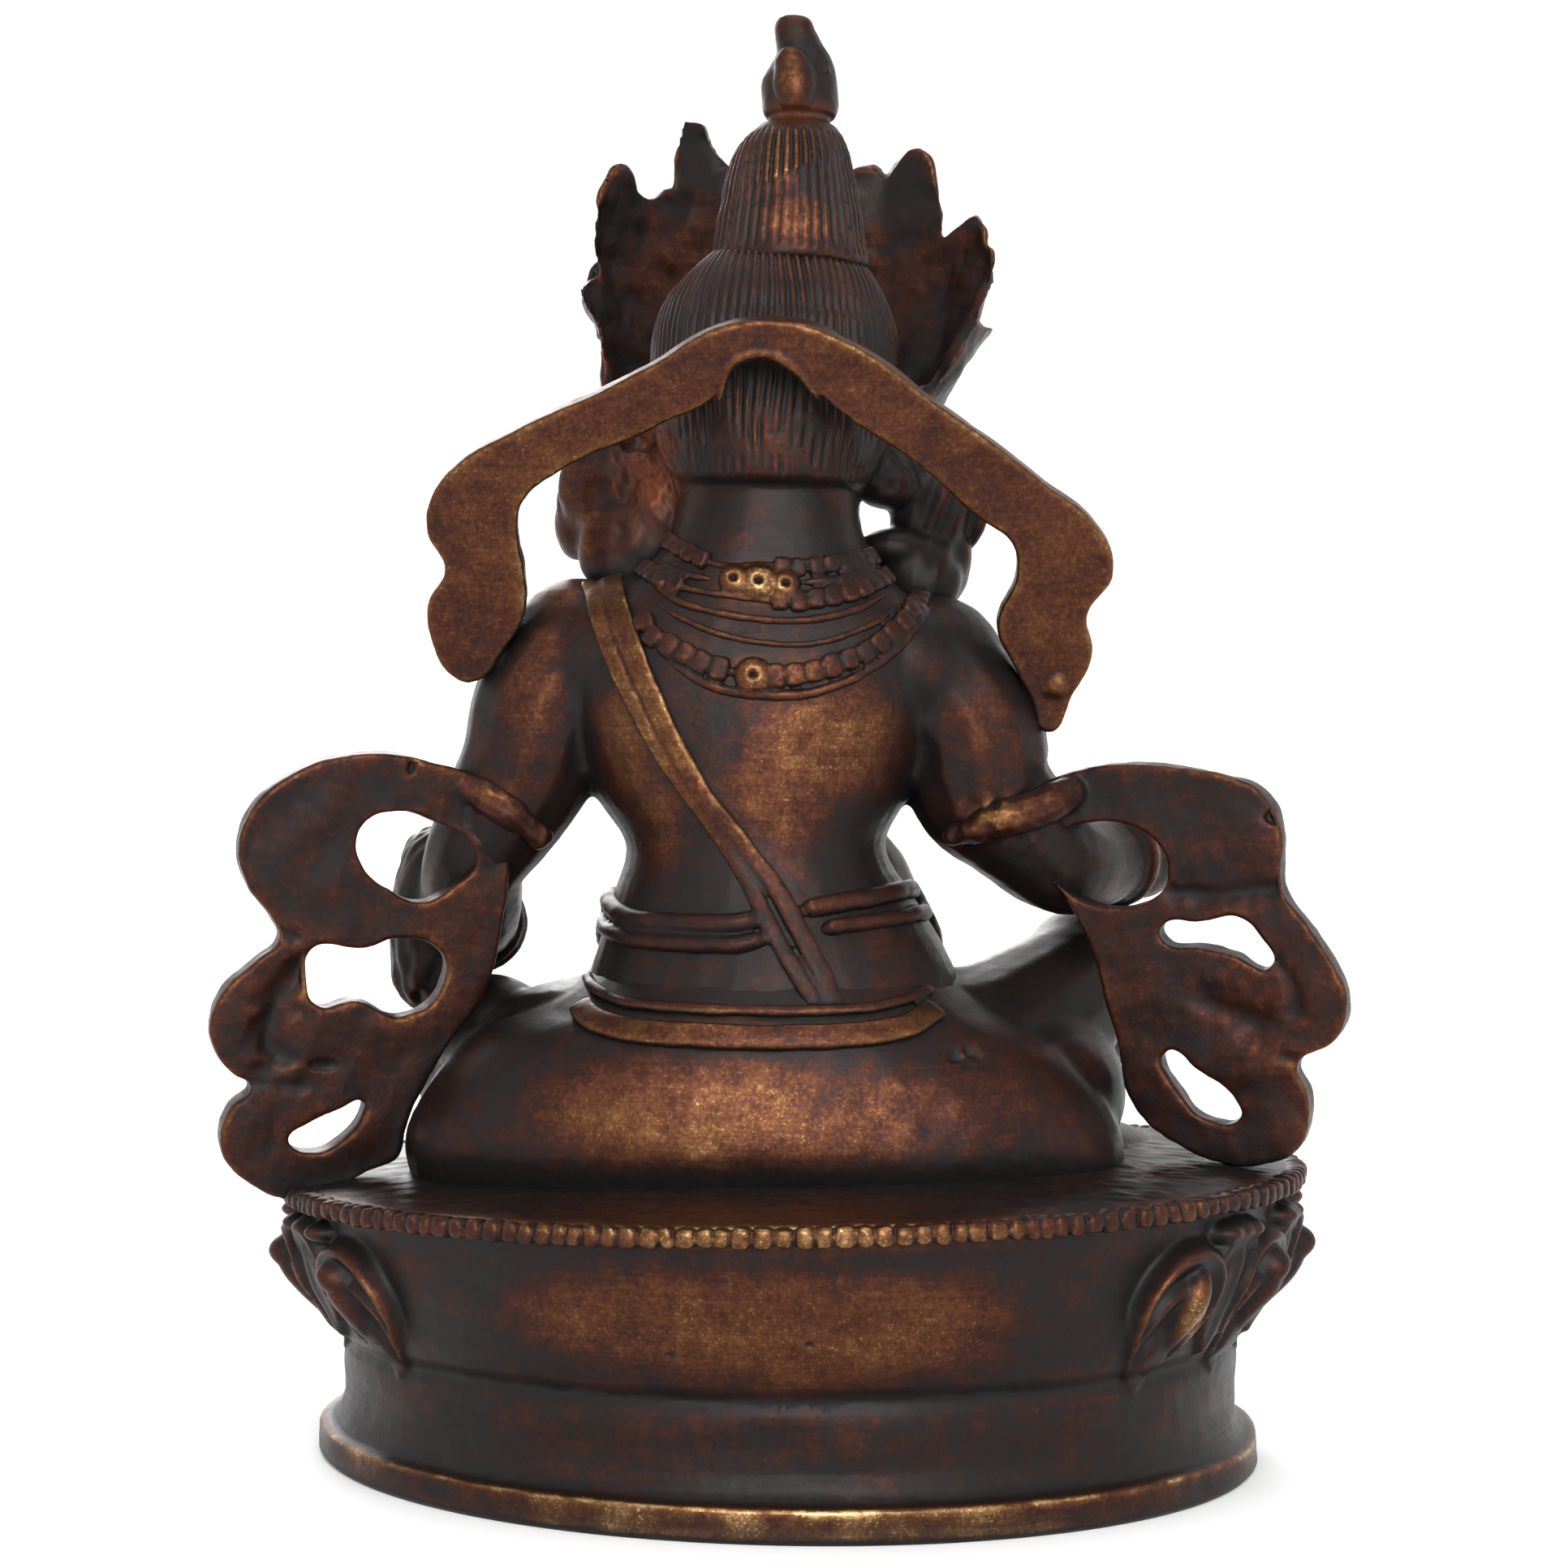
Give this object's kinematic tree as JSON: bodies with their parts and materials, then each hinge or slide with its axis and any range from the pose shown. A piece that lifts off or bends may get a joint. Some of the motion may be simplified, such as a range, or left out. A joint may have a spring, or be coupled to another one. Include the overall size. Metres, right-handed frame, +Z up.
{
  "type": "brass kubera statue",
  "caption": "Cast brass seated deity at royal ease on an oval lotus base, with leaf crown, looping scarf ribbons, held mongoose and jewel.",
  "frame": {"origin": "middle of the flat underside of the base, at the surface it stands on", "axes": "+Z up, -Y the way the figure faces, +X to the figure's left"},
  "size_m": [0.1528, 0.1175, 0.1974],
  "materials": {
    "aged_brass": "dark brown patina, rubbed to golden brass on the high places"
  },
  "bodies": {
    "root": {"kubera_statue": "aged_brass"}
  },
  "joints": []
}
